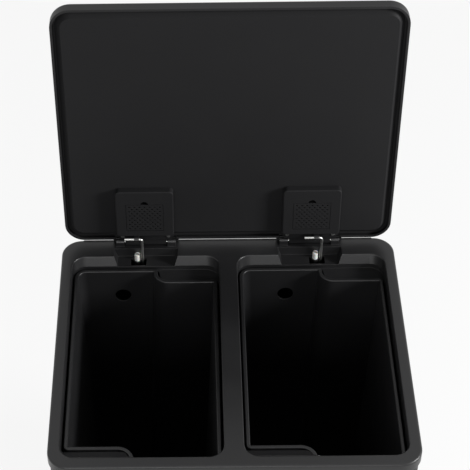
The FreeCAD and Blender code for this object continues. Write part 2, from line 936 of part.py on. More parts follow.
def add_foot_sockets(body):
    """Hollow posts under the deck that take the stems of the feet."""
    socket = both(*[circle(x, y, S["foot_diameter"]) for x, y in foot_places()])
    under = S["deck_height"] - S["tray_wall"]
    height = under + S["tray_wall"] / 2 - S["foot_height"]
    pad(body, XY, S["foot_height"], height, socket)
    hole = S["foot_stem_diameter"] + S["bore_play"] * 2
    holes = both(*[circle(x, y, hole) for x, y in foot_places()])
    pocket(body, XY, S["foot_height"], under - S["foot_height"], holes, reverse=True)


def cut_tray_openings(body):
    """Front opening of the pedal, rod slots in the deck and the screw holes."""
    half = S["pedal_width"] / 2 + S["pedal_gap"]
    top = S["plinth_height"] - S["tray_wall"]
    opening = box(-half, half, S["pedal_opening_bottom"], top)
    depth = S["plinth_inset"] + S["tray_wall"] * 2
    pocket(body, XZ, -HALF_DEPTH, depth, opening)
    spread = S["rod_diameter"] / 2 + S["pedal_gap"]
    reach = S["lever_slot_play"] * 2 + S["rod_diameter"] / 2
    front = ROD_Y - ROD_SWEEP - reach
    slots = [box(rod_x(sign) - spread, rod_x(sign) + spread, front, ROD_Y + reach) for _, sign in SIDES]
    pocket(body, XY, S["deck_height"], S["tray_wall"] * 2, both(*slots))
    hole = S["screw_diameter"] + S["screw_play"] * 2
    holes = both(*[circle(x, y, hole) for x, y in base_screw_places()])
    pocket(body, XY, S["plinth_height"], S["tray_wall"], holes)


def make_feet():
    feet = []
    for x, y in foot_places():
        disc = cylinder("Disc", S["foot_diameter"], S["foot_height"], x, y, ZERO)
        stem = cylinder("Stem", S["foot_stem_diameter"], S["foot_stem"], x, y, S["foot_height"])
        feet.append(fused("Foot", disc, stem))
    return group("feet", feet)


# ---------------------------------------------------------------- hinges, lid and its fittings


def make_hinge_pin(side, sign):
    length = HINGE_ZONE * 2
    start = sign * MODULE_X - HINGE_ZONE
    pin = cylinder(f"hinge_pin_{side}", S["pin_diameter"], length, start, HINGE_Y, HINGE_Z, True)
    pin.Label = f"hinge_pin_{side}"
    return pin


def lid_body(label, x=ZERO):
    """A body of the lid: its origin is on the hinge, and it is drawn as if the lid were shut."""
    body = new_body(label, x, HINGE_Y, HINGE_Z)
    tilt(body, -1, S["lid_open_angle"])
    return body


def make_lid_skin():
    """Pressed lid with rounded border, hemmed edge and a notch for each hinge."""
    body = lid_body("lid_skin")
    low = lid_z(S["lid_gap"])
    top = low + S["lid_height"]
    inner = top - S["lid_sheet"]
    pad(body, XY, low, S["lid_height"], lid_outline(ZERO))
    pocket(body, XY, low, S["lid_height"] - S["lid_sheet"], lid_outline(S["lid_sheet"]), reverse=True)
    round_edges(body, S["lid_round"] - S["lid_sheet"], lambda e: lies_at(e, "Z", inner))
    round_edges(body, S["lid_round"], lambda e: lies_at(e, "Z", top))
    pad(body, XY, low, S["hem_height"], both(lid_outline(ZERO), lid_outline(S["hem_width"])))
    rear = lid_y(S["lid_rear_inset"])
    half = HINGE_ZONE + S["notch_gap"]
    inner_end = rear - S["hem_width"] - S["bore_play"]
    for _, sign in SIDES:
        middle = sign * MODULE_X
        notch = box(middle - half, middle + half, inner_end, rear + S["cut_past"])
        height = S["notch_height"] - S["lid_gap"]
        pocket(body, XY, low, height, notch, reverse=True)
    return body


def make_lid_liner():
    """Inner panel: flange by the lid's edge, bevelled border, flat field and a block per hinge."""
    body = lid_body("lid_liner")
    wall = S["liner_wall"]
    flange = lid_z(S["liner_flange_height"])
    field = lid_z(S["liner_height"])
    inset = S["lid_sheet"] + S["liner_gap"]
    pad(body, XY, flange, wall, lid_outline(inset))
    loft(
        body,
        "PartDesign::AdditiveLoft",
        field,
        lid_outline(S["liner_inset"]),
        flange,
        lid_outline(S["liner_flange"]),
    )
    loft(
        body,
        "PartDesign::SubtractiveLoft",
        field + wall,
        lid_outline(S["liner_inset"] + wall),
        flange + wall,
        lid_outline(S["liner_flange"] + wall),
    )
    top = flange + wall
    pad(body, XY, field, top - field, both(*hinge_blocks(ZERO)))
    pocket(body, XY, top, top - field - wall, both(*hinge_blocks(wall)))
    screws = [circle(x, y, screw_hole()) for x, y in bracket_screw_places()]
    pocket(body, XY, field, wall, both(*screws), reverse=True)
    return body


def hinge_blocks(inset):
    """Outlines of the blocks that carry the hinge brackets, each reaching into the field."""
    half = S["block_width"] / 2 - inset
    near = -S["block_start"] - inset
    far = lid_y(S["lid_rear_inset"] + S["liner_inset"]) - inset * 2
    middles = [sign * MODULE_X for _, sign in SIDES]
    return [box(x - half, x + half, far, near) for x in middles]


def screw_hole():
    return S["screw_diameter"] + S["screw_play"] * 2


def bracket_screw_places():
    """Places of the bracket screws in the lid's own frame."""
    y = -S["bracket_screw_start"]
    apart = S["bracket_screw_spacing"]
    return [(sign * MODULE_X + x * apart, y) for _, sign in SIDES for x in (-1, 1)]


def make_hinge_bracket(side, sign):
    """Barrel, web and mounting plate of a hinge, with the leg and boss that take the rod."""
    middle = sign * MODULE_X
    body = lid_body(f"hinge_bracket_{side}", middle)
    field = lid_z(S["liner_height"])
    half = S["barrel_width"] / 2
    pad(body, YZ, -half, S["barrel_width"], circle(ZERO, ZERO, S["barrel_radius"] * 2))
    web = box(-S["web_reach"], ZERO, -S["barrel_radius"], ZERO)
    pad(body, YZ, -half, S["barrel_width"], web)
    plate_low = field - S["plate_thickness"]
    plate_half = S["plate_width"] / 2
    corner = S["plate_radius"]
    plate = rounded_box(-plate_half, plate_half, -S["plate_end"], -S["plate_start"], corner)
    pad(body, XY, plate_low, S["plate_thickness"], plate)
    boss_y = -S["rod_radius"] * cosine(ROD_CLOSED_ANGLE)
    boss_z = S["rod_radius"] * sine(ROD_CLOSED_ANGLE)
    start = hole_x(sign) + S["boss_offset"] - S["boss_width"] / 2
    leg = arch(boss_y, boss_z, S["boss_radius"], plate_low + S["plate_thickness"] / 2)
    pad(body, YZ, start, S["boss_width"], leg)
    rod_bore = circle(boss_y, boss_z, S["rod_diameter"] + S["bore_play"])
    pocket(body, YZ, ZERO, S["barrel_width"] * 2, rod_bore, centred=True)
    pin_bore = circle(ZERO, ZERO, S["pin_diameter"] + S["bore_play"])
    pocket(body, YZ, ZERO, S["barrel_width"] * 2, pin_bore, centred=True)
    screws = [
        circle(x * S["bracket_screw_spacing"], -S["bracket_screw_start"], screw_hole())
        for x in (-1, 1)
    ]
    pocket(body, XY, field, S["plate_thickness"], both(*screws))
    return body


def make_bracket_screws():
    """Low-head screws that hold the brackets to the liner, drawn upright in the lid's own frame."""
    seat = lid_z(S["liner_height"]) - S["plate_thickness"]
    screws = screw_group(
        "bracket_screws",
        bracket_screw_places(),
        seat,
        S["plate_thickness"] + S["bracket_screw_length"],
        S["bracket_head"],
        S["bracket_head_height"],
    )
    place(screws, ZERO, HINGE_Y, HINGE_Z)
    tilt(screws, -1, S["lid_open_angle"])
    return screws


def make_filter_housing(side, sign):
    """Raised box on the liner, open to the liner, with the door window and the thumb notch."""
    body = lid_body(f"filter_housing_{side}", sign * MODULE_X)
    field = lid_z(S["liner_height"])
    face = field - S["housing_height"]
    wall = S["housing_wall"]
    half = S["housing_width"] / 2
    near = -S["housing_start"]
    far = near - S["housing_length"]
    outline = rounded_box(-half, half, far, near, S["housing_radius"])
    pad(body, XY, face, S["housing_height"], outline)
    round_edges(body, S["housing_round"], lambda e: lies_at(e, "Z", face))
    hollow = rounded_box(
        wall - half, half - wall, far + wall, near - wall, S["housing_radius"] - wall
    )
    pocket(body, XY, field, S["housing_height"] - wall, hollow)
    window_half = S["door_width"] / 2 + S["door_gap"]
    window_near = -S["door_axis_start"] + S["door_barrel_radius"] + S["window_gap"]
    window_far = -S["door_axis_start"] - S["door_length"] - S["door_gap"]
    for sx in (-1, 1):
        start = sx * (window_half + S["door_pin_length"] / 2) - S["door_pin_length"] / 2
        lug = box(
            -S["door_axis_start"] - S["lug_reach"],
            window_near,
            face + wall / 2,
            DOOR_AXIS_Z + S["lug_reach"],
        )
        pad(body, YZ, start, S["door_pin_length"], lug)
    pocket(body, XY, face, wall, box(-window_half, window_half, window_far, window_near), reverse=True)
    notch = circle(ZERO, window_far, S["thumb_notch_radius"] * 2)
    pocket(body, XY, face, wall, notch, reverse=True)
    bore = circle(-S["door_axis_start"], DOOR_AXIS_Z, S["door_pin_diameter"] + S["door_pin_play"])
    reach = S["door_width"] + (S["door_pin_length"] + S["door_gap"]) * 2
    pocket(body, YZ, ZERO, reach, bore, centred=True)
    return body


def make_filter_door(side, sign):
    """Perforated door that turns on two short pins at its hinge end."""
    middle = sign * MODULE_X
    body = lid_body(f"filter_door_{side}", middle)
    face = lid_z(S["liner_height"]) - S["housing_height"]
    wall = S["housing_wall"]
    half = S["door_width"] / 2
    near = -S["door_axis_start"]
    pad(body, XY, face, wall, box(-half, half, near - S["door_length"], near))
    barrel = circle(near, DOOR_AXIS_Z, S["door_barrel_radius"] * 2)
    pad(body, YZ, ZERO, S["door_width"], barrel, centred=True)
    pins = circle(near, DOOR_AXIS_Z, S["door_pin_diameter"])
    pad(body, YZ, ZERO, S["door_width"] + S["door_pin_length"] * 2, pins, centred=True)
    length, width = S["slot_length"] / 2, S["slot_width"] / 2
    for offset in (0, 0.5):
        columns = S["slot_columns"] - 2 * offset
        rows = S["slot_rows"] - 2 * offset
        x = -(columns - 1) * S["slot_pitch"] / 2
        y = -S["grille_start"] - offset * S["slot_row_pitch"]
        slot = [(x - length, y), (x, y - width), (x + length, y), (x, y + width)]
        hole = pocket(body, XY, face, wall, polygon(slot), reverse=True)
        repeat_hole(body, hole, columns, rows)
    return body


def repeat_hole(body, hole, columns, rows):
    """Repeats a hole over a grid of columns along X and rows towards the far end."""
    grid = body.newObject("PartDesign::MultiTransform", "Grid")
    grid.Originals = [hole]
    grid.Refine = False
    steps = []
    for axis, count, pitch in (("H_Axis", columns, "slot_pitch"), ("V_Axis", rows, "slot_row_pitch")):
        pattern = DOC.addObject("PartDesign::LinearPattern", "Row")
        body.addObject(pattern)
        pattern.Direction = (hole.Profile[0], [axis])
        pattern.Reversed = axis == "V_Axis"
        bind(pattern, "Length", S[pitch] * (count - 1))
        bind(pattern, "Occurrences", count)
        steps.append(pattern)
    grid.Transformations = steps
    body.Tip = grid


def make_filter_pad(side, sign):
    """Carbon pad between the liner and the door."""
    body = lid_body(f"filter_pad_{side}", sign * MODULE_X)
    top = lid_z(S["liner_height"]) - S["pad_gap"]
    half = S["pad_width"] / 2
    near = -S["door_axis_start"] - S["pad_gap"]
    outline = rounded_box(-half, half, near - S["pad_length"], near, S["pad_radius"])
    pad(body, XY, top - S["pad_thickness"], S["pad_thickness"], outline)
    return body


# ---------------------------------------------------------------- rods and dampers


def rod_path(sketch):
    """Centre line of a rod: top end to the left, long straight, hook to the left."""
    bend = S["rod_bend"]
    top, hook, drop = -S["rod_top_length"], -S["rod_hook_length"], -ROD_LENGTH
    spots = [
        (top, ZERO),
        (-bend, ZERO),
        (ZERO, -bend),
        (ZERO, drop + bend),
        (-bend, drop),
        (hook, drop),
    ]
    points = [FreeCAD.Vector(x.value, y.value, 0) for x, y in spots]
    for i in (0, 2, 4):
        sketch.addGeometry(Part.LineSegment(points[i], points[i + 1]), False)
    normal = FreeCAD.Vector(0, 0, 1)
    for centre_y, begin in ((-bend, 0), (drop + bend, -math.pi / 2)):
        centre = FreeCAD.Vector(-bend.value, centre_y.value, 0)
        round_part = Part.Circle(centre, normal, bend.value)
        sketch.addGeometry(Part.ArcOfCircle(round_part, begin, begin + math.pi / 2), False)
    rules = [
        (Sketcher.Constraint("Tangent", 0, 2, 3, 2), None),
        (Sketcher.Constraint("Tangent", 3, 1, 1, 1), None),
        (Sketcher.Constraint("Tangent", 1, 2, 4, 2), None),
        (Sketcher.Constraint("Tangent", 4, 1, 2, 1), None),
        (Sketcher.Constraint("Horizontal", 0), None),
        (Sketcher.Constraint("Vertical", 1), None),
        (Sketcher.Constraint("Horizontal", 2), None),
        (Sketcher.Constraint("Radius", 3, bend.value), bend),
        (Sketcher.Constraint("Radius", 4, bend.value), bend),
        (Sketcher.Constraint("DistanceX", -1, 1, 1, 1, 0), None),
    ]
    fix_point(sketch, rules, 0, 1, top, ZERO)
    fix_point(sketch, rules, 2, 2, hook, drop)
    add_rules(sketch, rules)


def rod_x(sign):
    return sign * MODULE_X + hole_x(sign) + S["rod_offset"]


def make_lift_rod(side, sign):
    body = new_body(f"lift_rod_{side}", rod_x(sign), ROD_Y, ROD_Z)
    section = circle(ZERO, ZERO, S["rod_diameter"])
    pipe = body.newObject("PartDesign::AdditivePipe", "Pipe")
    pipe.Profile = new_sketch(body, YZ, -S["rod_top_length"], section)
    pipe.Spine = (new_sketch(body, XZ, ZERO, rod_path), [])
    return body


def make_rod_clip(side, sign):
    """Push-on clip on the hook, outside the lever arm."""
    body = new_body(f"rod_clip_{side}", rod_x(sign), ROD_Y, ROD_Z)
    bore = S["rod_diameter"] + S["bore_play"]
    ring = both(circle(ZERO, -ROD_LENGTH, S["rod_clip_diameter"]), circle(ZERO, -ROD_LENGTH, bore))
    start = -S["arm_offset"] - S["arm_sheet"] / 2 - S["rod_clip_width"] - S["clip_gap"]
    pad(body, YZ, start, S["rod_clip_width"], ring)
    return body


def make_damper_body(side, sign):
    """Cylinder that hangs under the recess floor, with a collar behind the rod hole."""
    x = sign * MODULE_X + hole_x(sign) + S["plunger_offset"]
    body = new_body(f"damper_body_{side}", x, from_rear(S["plunger_depth"]), DAMPER_TOP)
    length = S["damper_length"]
    pad(body, XY, -length, length, circle(ZERO, ZERO, S["damper_diameter"]))
    back = S["plunger_depth"] - S["recess_depth"] + S["frame_wall"]
    collar = box(-S["collar_width"] / 2, S["collar_width"] / 2, ZERO, back)
    pad(body, XY, -S["collar_height"], S["collar_height"], collar)
    bore = circle(ZERO, ZERO, S["plunger_diameter"] + S["plunger_bore_play"])
    pocket(body, XY, ZERO, length - S["damper_floor"], bore)
    return body


def make_damper_plunger(side, sign):
    x = sign * MODULE_X + hole_x(sign) + S["plunger_offset"]
    body = new_body(f"damper_plunger_{side}", x, from_rear(S["plunger_depth"]), PLUNGER_TOP)
    length = S["plunger_length"]
    pad(body, XY, -length, length, circle(ZERO, ZERO, S["plunger_diameter"]))
    round_edges(body, S["plunger_round"], lambda e: lies_at(e, "Z", ZERO))
    return body


# ---------------------------------------------------------------- buckets


def make_bucket(side, sign):
    """Tapered bucket with a stepped plan, turned-down rim and a round bag hole in the rear wall."""
    body = new_body(f"bucket_{side}", sign * MODULE_X, ZERO, S["deck_height"])
    rim = S["bucket_gap"]
    outer = rim + S["bead_overhang"]
    inner = outer + S["bucket_wall"]
    draft = S["bucket_draft"]
    floor = S["bucket_floor"]
    loft(
        body,
        "PartDesign::AdditiveLoft",
        ZERO,
        stepped_outline(ZERO, outer, draft),
        BUCKET_HEIGHT,
        stepped_outline(ZERO, outer),
    )
    bead = BUCKET_HEIGHT - S["bead_height"]
    top_plate = BUCKET_HEIGHT - S["bucket_wall"]
    pad(body, XY, top_plate, S["bucket_wall"], stepped_outline(ZERO, rim))
    lip = both(stepped_outline(ZERO, rim), stepped_outline(ZERO, rim + S["lip_wall"]))
    pad(body, XY, bead, S["bead_height"], lip)
    rise = draft * floor / BUCKET_HEIGHT
    loft(
        body,
        "PartDesign::SubtractiveLoft",
        floor,
        stepped_outline(ZERO, inner, draft - rise),
        BUCKET_HEIGHT,
        stepped_outline(ZERO, inner),
    )
    round_edges(body, S["bead_round"], lambda e: lies_at(e, "Z", BUCKET_HEIGHT))
    hole = circle(
        S["bag_hole_side"] - OPENING_WIDTH / 2,
        BUCKET_HEIGHT - S["bag_hole_drop"],
        S["bag_hole_diameter"],
    )
    pocket(body, XZ, from_rear(OPENING_REAR) - inner, S["step_depth"], hole, centred=True)
    return body


# ---------------------------------------------------------------- pedal


def arm_x(sign):
    return rod_x(sign) - S["arm_offset"]


def pedal_body(label):
    """A body of the pedal: its origin is on the axle, and it is drawn level."""
    body = new_body(label, ZERO, AXLE_Y, S["axle_height"])
    tilt(body, 1, PEDAL_ANGLE)
    return body


def make_pedal_frame():
    """Two lever arms with rod slots at the rear, joined by a plate whose tongue carries the tread."""
    body = pedal_body("pedal_frame")
    half = S["arm_height"] / 2
    sheet = S["arm_sheet"]
    front = -HALF_DEPTH + S["plinth_inset"] + S["tray_wall"] + S["arm_gap"] - AXLE_Y
    slot_half = ROD_SWEEP / 2 + S["rod_diameter"] / 2 + S["lever_slot_play"]
    slot_rise = S["rod_diameter"] / 2 + S["lever_slot_rise"]
    rear = LEVER_LENGTH + slot_half + S["slot_rim"]
    for _, sign in SIDES:
        arm = rounded_box(front, rear, -half, half, S["arm_radius"])
        pad(body, YZ, arm_x(sign), sheet, arm, centred=True)
    plate = box(arm_x(-1) - sheet / 2, arm_x(1) + sheet / 2, front, front + S["cross_plate"])
    pad(body, XY, half - sheet, sheet, plate)
    reach = -HALF_DEPTH - S["pedal_reach"] + S["pedal_wall"] * 2 - AXLE_Y
    tongue = S["tongue_width"] / 2
    end = front + S["cut_past"]
    pad(body, XY, half - sheet, sheet, box(-tongue, tongue, reach, end))
    slot = rounded_box(
        LEVER_LENGTH - slot_half,
        LEVER_LENGTH + slot_half,
        -slot_rise,
        slot_rise,
        slot_rise - S["bore_play"],
    )
    bush_hole = circle(ZERO, ZERO, S["bush_diameter"] + S["bore_play"])
    width = S["body_width"]
    pocket(body, YZ, ZERO, width, both(slot, bush_hole), centred=True)
    return body


def make_pedal_bushes():
    """Flanged bushes in the arms, running on the axle."""
    bushes = []
    for _, sign in SIDES:
        x = arm_x(sign)
        length = S["arm_sheet"] * 2
        flange = S["bush_flange_width"]
        start = x - S["arm_sheet"] / 2 - flange
        sleeve = cylinder("Sleeve", S["bush_diameter"], length, start, 0, 0, True)
        collar = cylinder("Collar", S["bush_flange"], flange, start, 0, 0, True)
        past = S["cut_past"]
        bore_size = S["axle_diameter"] + S["bore_play"]
        bore = cylinder("Bore", bore_size, length + past * 2, start - past, 0, 0, True)
        bushes.append(cut("Bush", fused("Sleeve and collar", sleeve, collar), bore))
    bushes = group("pedal_bushes", bushes)
    place(bushes, ZERO, AXLE_Y, S["axle_height"])
    tilt(bushes, 1, PEDAL_ANGLE)
    return bushes


def make_pedal_pad():
    """Hollow tread that sits on the tongue, with grip ribs along its width."""
    body = pedal_body("pedal_pad")
    top = S["arm_height"] / 2
    half = S["pedal_width"] / 2
    wall = S["pedal_wall"]
    front = -HALF_DEPTH - S["pedal_reach"] - AXLE_Y
    rear = front + S["pedal_length"]
    radius = S["pedal_radius"]
    sharp = S["pedal_rear_radius"]
    outline = rounded(
        [(-half, front, radius), (half, front, radius), (half, rear, sharp), (-half, rear, sharp)]
    )
    height = S["pedal_skirt"] + wall
    pad(body, XY, top - S["pedal_skirt"], height, outline)
    round_edges(body, wall / 2, lambda e: lies_at(e, "Z", top + wall))
    hollow = rounded(
        [
            (wall - half, front + wall, radius - wall),
            (half - wall, front + wall, radius - wall),
            (half - wall, rear + wall, sharp),
            (wall - half, rear + wall, sharp),
        ]
    )
    pocket(body, XY, top, height, hollow)
    middle = (front + rear) / 2
    count = int(S["tread_ribs"].value)
    ribs = []
    for number in range(count):
        y = middle + (number - (count - 1) / 2) * S["tread_pitch"]
        reach = S["tread_rib_width"] / 2
        ribs.append(box(radius - half, half - radius, y - reach, y + reach))
    pad(body, XY, top + wall / 2, wall / 2 + S["tread_height"], both(*ribs))
    return body


def make_pedal_axle():
    half = axle_half()
    axle = cylinder(
        "pedal_axle", S["axle_diameter"], half * 2, -half, AXLE_Y, S["axle_height"], True
    )
    axle.Label = "pedal_axle"
    return axle


def axle_half():
    return S["axle_bearing_offset"] + S["bearing_width"] / 2 + S["clip_width"] + S["axle_end"]


def make_axle_clips():
    """Push-on clips outside the bearings."""
    clips = []
    for _, sign in SIDES:
        gap = S["bearing_width"] / 2 + S["clip_gap"] + S["clip_width"] / 2
        start = sign * (S["axle_bearing_offset"] + gap) - S["clip_width"] / 2
        width = S["clip_width"]
        height = S["axle_height"]
        disc = cylinder("Clip disc", S["clip_diameter"], width, start, AXLE_Y, height, True)
        bore = S["axle_diameter"] + S["bore_play"]
        past = S["cut_past"]
        hole = cylinder("Clip bore", bore, width + past * 2, start - past, AXLE_Y, height, True)
        clips.append(cut("Clip", disc, hole))
    return group("axle_clips", clips)


# ---------------------------------------------------------------- assembly and export


def build_parts():
    parts = [make_outer_shell(), make_top_frame(), make_base_tray(), make_feet()]
    parts += [make_lid_skin(), make_lid_liner(), make_bracket_screws()]
    for side, sign in SIDES:
        for make in (
            make_hinge_pin,
            make_hinge_bracket,
            make_filter_housing,
            make_filter_door,
            make_filter_pad,
            make_lift_rod,
            make_rod_clip,
            make_damper_body,
            make_damper_plunger,
            make_bucket,
        ):
            parts.append(make(side, sign))
    parts += [make_pedal_frame(), make_pedal_pad(), make_pedal_bushes()]
    parts += [make_pedal_axle(), make_axle_clips()]
    parts.append(
        screw_group(
            "frame_screws",
            frame_screw_places(),
            SHELL_TOP - S["shell_sheet"],
            S["frame_screw_length"],
            S["screw_head"],
            S["screw_head_height"],
        )
    )
    parts.append(
        screw_group(
            "base_screws",
            base_screw_places(),
            S["plinth_height"] - S["tray_wall"],
            S["base_screw_length"],
            S["screw_head"],
            S["screw_head_height"],
        )
    )
    return parts


def check_document():
    """Stops at the first object that failed to build."""
    for thing in DOC.Objects:
        if "Invalid" in thing.State or "Error" in thing.State:
            raise RuntimeError(f"{thing.Name} of {thing.Label} is {thing.State}")


def export(parts):
    """Writes each sub-part to its own file after looking at its shape."""
    os.makedirs("parts", exist_ok=True)
    for part in parts:
        shape = part.Shape
        if shape.isNull() or not shape.isValid() or not shape.Solids:
            raise RuntimeError(f"{part.Label} has no sound shape")
        shape.exportStep(f"parts/{part.Label}.step")
        print(part.Label, len(shape.Solids), "solid(s), volume", round(shape.Volume / 1000, 2), "cm3")


PARTS = build_parts()
DOC.recompute()
check_document()
export(PARTS)
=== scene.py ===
"""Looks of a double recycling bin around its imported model: finishes, small fittings, light and camera."""

import json
import logging
import math
from dataclasses import dataclass
from enum import Enum

import bmesh
import bpy
from mathutils import Matrix, Vector

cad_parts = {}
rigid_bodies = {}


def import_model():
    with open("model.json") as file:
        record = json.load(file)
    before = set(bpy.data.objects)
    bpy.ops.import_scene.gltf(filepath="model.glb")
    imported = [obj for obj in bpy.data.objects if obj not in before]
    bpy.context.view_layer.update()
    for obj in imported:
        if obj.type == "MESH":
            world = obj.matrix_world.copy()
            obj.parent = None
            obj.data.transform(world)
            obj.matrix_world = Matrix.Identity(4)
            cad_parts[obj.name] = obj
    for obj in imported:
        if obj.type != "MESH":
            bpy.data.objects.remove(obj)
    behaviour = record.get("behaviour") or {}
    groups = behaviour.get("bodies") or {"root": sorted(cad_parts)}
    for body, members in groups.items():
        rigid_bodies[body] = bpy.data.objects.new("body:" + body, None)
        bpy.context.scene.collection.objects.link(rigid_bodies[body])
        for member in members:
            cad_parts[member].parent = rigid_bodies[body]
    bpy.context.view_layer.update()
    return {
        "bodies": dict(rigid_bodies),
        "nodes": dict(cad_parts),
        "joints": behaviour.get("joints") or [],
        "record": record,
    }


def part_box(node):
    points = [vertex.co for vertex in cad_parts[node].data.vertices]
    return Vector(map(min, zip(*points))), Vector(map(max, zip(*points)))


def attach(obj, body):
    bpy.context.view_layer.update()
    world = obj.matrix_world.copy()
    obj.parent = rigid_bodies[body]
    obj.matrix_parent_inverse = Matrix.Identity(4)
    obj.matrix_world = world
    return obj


LOG = logging.getLogger("recycling_bin")
MM = 0.001
SIDES = ("left", "right")
NEAR_CLIP, FAR_CLIP = 0.05, 60.0
BLOCK_SEGMENTS = 3

# What all finishes share: how the noise is layered, which part of it drives the gloss, how far drawn
# lines are stretched along Z, how deep light goes into waxy plastics and how finely edges are softened.
PATCH_DETAIL, FINE_DETAIL, SMOOTH_DETAIL = 3.0, 4.0, 1.0
PATCH_LOW, PATCH_HIGH = 0.3, 0.7
DRAWN_STRETCH = 0.04
WAX_DEPTH_MM = 1.5
EDGE_SAMPLES = 4


class Grain(Enum):
    """How the surface of a finish was made, which sets the form of its relief."""

    MOULDED = "moulded"
    COATED = "coated"
    DRAWN = "drawn"
    FELTED = "felted"


def linear(hex_colour: str) -> tuple[float, float, float, float]:
    """Turns an sRGB colour into the linear one that the shaders take.

    Args:
        hex_colour: The colour as six hex digits.

    Returns:
        The linear red, green and blue, and an alpha of one.
    """
    channels = [int(hex_colour[i : i + 2], 16) / 255 for i in (0, 2, 4)]
    low_end, offset, slope, power = 0.04045, 0.055, 12.92, 2.4
    flat = [
        c / slope if c <= low_end else ((c + offset) / (1 + offset)) ** power for c in channels
    ]
    return flat[0], flat[1], flat[2], 1.0


def add_node(
    tree: bpy.types.NodeTree,
    kind: str,
    settings: dict | None = None,
    inputs: dict | None = None,
) -> bpy.types.Node:
    """Adds one node with its settings, its socket values and its incoming links.

    Args:
        tree: The node tree to add to.
        kind: The node's type name.
        settings: Properties of the node by name.
        inputs: Values, or sockets to link from, by the name or number of the input.

    Returns:
        The new node.
    """
    node = tree.nodes.new(kind)
    for name, value in (settings or {}).items():
        setattr(node, name, value)
    for name, value in (inputs or {}).items():
        if isinstance(value, bpy.types.NodeSocket):
            tree.links.new(value, node.inputs[name])
        else:
            node.inputs[name].default_value = value
    return node


@dataclass(frozen=True)
class Finish:
    """A surface finish: its colours, its gloss and the real size of its relief."""

    name: str
    colour: str
    shade: str
    roughness: float
    spread: float = 0.04
    metallic: float = 0.0
    ior: float = 1.5
    specular: float = 0.5
    grain: Grain = Grain.MOULDED
    grain_mm: float = 1.2
    relief_mm: float = 0.02
    patch_mm: float = 70.0
    edge_mm: float = 0.8
    subsurface: float = 0.0

    def material(self) -> bpy.types.Material:
        """Gives the finish's material, made on its first use.

        Returns:
            The material.
        """
        made = bpy.data.materials.get(self.name)
        return made if made else self.make()

    def make(self) -> bpy.types.Material:
        """Builds the nodes of the material.

        Returns:
            The new material.
        """
        material = bpy.data.materials.new(self.name)
        material.use_nodes = True
        tree = material.node_tree
        tree.nodes.clear()
        place = add_node(tree, "ShaderNodeTexCoord").outputs["Object"]
        patches = add_node(
            tree,
            "ShaderNodeTexNoise",
            {"noise_dimensions": "3D"},
            {"Vector": place, "Scale": 1 / (self.patch_mm * MM), "Detail": PATCH_DETAIL},
        ).outputs["Fac"]
        tone = add_node(
            tree,
            "ShaderNodeMix",
            {"data_type": "RGBA"},
            {"Factor": patches, 6: linear(self.colour), 7: linear(self.shade)},
        ).outputs[2]
        gloss = add_node(
            tree,
            "ShaderNodeMapRange",
            {},
            {
                "Value": patches,
                "From Min": PATCH_LOW,
                "From Max": PATCH_HIGH,
                "To Min": self.roughness - self.spread,
                "To Max": self.roughness + self.spread,
            },
        ).outputs["Result"]
        softened = add_node(
            tree, "ShaderNodeBevel", {"samples": EDGE_SAMPLES}, {"Radius": self.edge_mm * MM}
        ).outputs["Normal"]
        bump = add_node(
            tree,
            "ShaderNodeBump",
            {},
            {
                "Strength": 1.0,
                "Distance": self.relief_mm * MM,
                "Height": self.relief(tree, place),
                "Normal": softened,
            },
        ).outputs["Normal"]
        shader = add_node(
            tree,
            "ShaderNodeBsdfPrincipled",
            {},
            {
                "Base Color": tone,
                "Roughness": gloss,
                "Normal": bump,
                "Metallic": self.metallic,
                "IOR": self.ior,
                "Specular IOR Level": self.specular,
                "Subsurface Weight": self.subsurface,
                "Subsurface Scale": WAX_DEPTH_MM * MM,
            },
        ).outputs["BSDF"]
        add_node(tree, "ShaderNodeOutputMaterial", {}, {"Surface": shader})
        return material

    def relief(self, tree: bpy.types.NodeTree, place: bpy.types.NodeSocket) -> bpy.types.NodeSocket:
        """Adds the height pattern that goes with the way the surface was made.

        Args:
            tree: The material's node tree.
            place: The point on the surface, in metres.

        Returns:
            The socket with the height, from nought to one.
        """
        stretch = (1.0, 1.0, DRAWN_STRETCH if self.grain is Grain.DRAWN else 1.0)
        point = add_node(
            tree, "ShaderNodeMapping", {}, {"Vector": place, "Scale": stretch}
        ).outputs["Vector"]
        scale = 1 / (self.grain_mm * MM)
        if self.grain is Grain.FELTED:
            kind, extra, output = "ShaderNodeTexVoronoi", {"Randomness": 1.0}, "Distance"
        else:
            detail = SMOOTH_DETAIL if self.grain is Grain.COATED else FINE_DETAIL
            kind, extra, output = "ShaderNodeTexNoise", {"Detail": detail}, "Fac"
        return add_node(tree, kind, {}, {"Vector": point, "Scale": scale, **extra}).outputs[output]


# Satin powder coat on sheet steel, sprayed and baked: even, faintly rippled like orange peel, so that
# edges catch a soft line of light. The ripple is really about 1 mm and is drawn as 2 mm to show.
POWDER_COAT = Finish(
    "satin_powder_coat", "171718", "1a1a1b", 0.48, spread=0.015, specular=0.3, grain=Grain.COATED,
    grain_mm=2.0, relief_mm=0.03,
)
# Polypropylene moulded in a spark-eroded tool: a satin, dense grain that spreads the light. The grain
# is really about 0.3 mm and is drawn as 1.2 mm to show.
GRAINED_POLYPROPYLENE = Finish(
    "grained_polypropylene", "1b1b1c", "202021", 0.36, specular=0.42, relief_mm=0.03
)
# Polypropylene from a bead-blasted tool, on the lid's inner panel and the filter parts: even, with a
# finer grain and less gloss than the frame.
BLASTED_POLYPROPYLENE = Finish(
    "blasted_polypropylene", "222223", "252526", 0.58, spread=0.015, specular=0.1, relief_mm=0.012
)
# Polypropylene from a polished tool, in the buckets: smooth, with long soft reflections on the rims.
SMOOTH_POLYPROPYLENE = Finish(
    "smooth_polypropylene", "1d1d1e", "212122", 0.36, specular=0.4, relief_mm=0.006
)
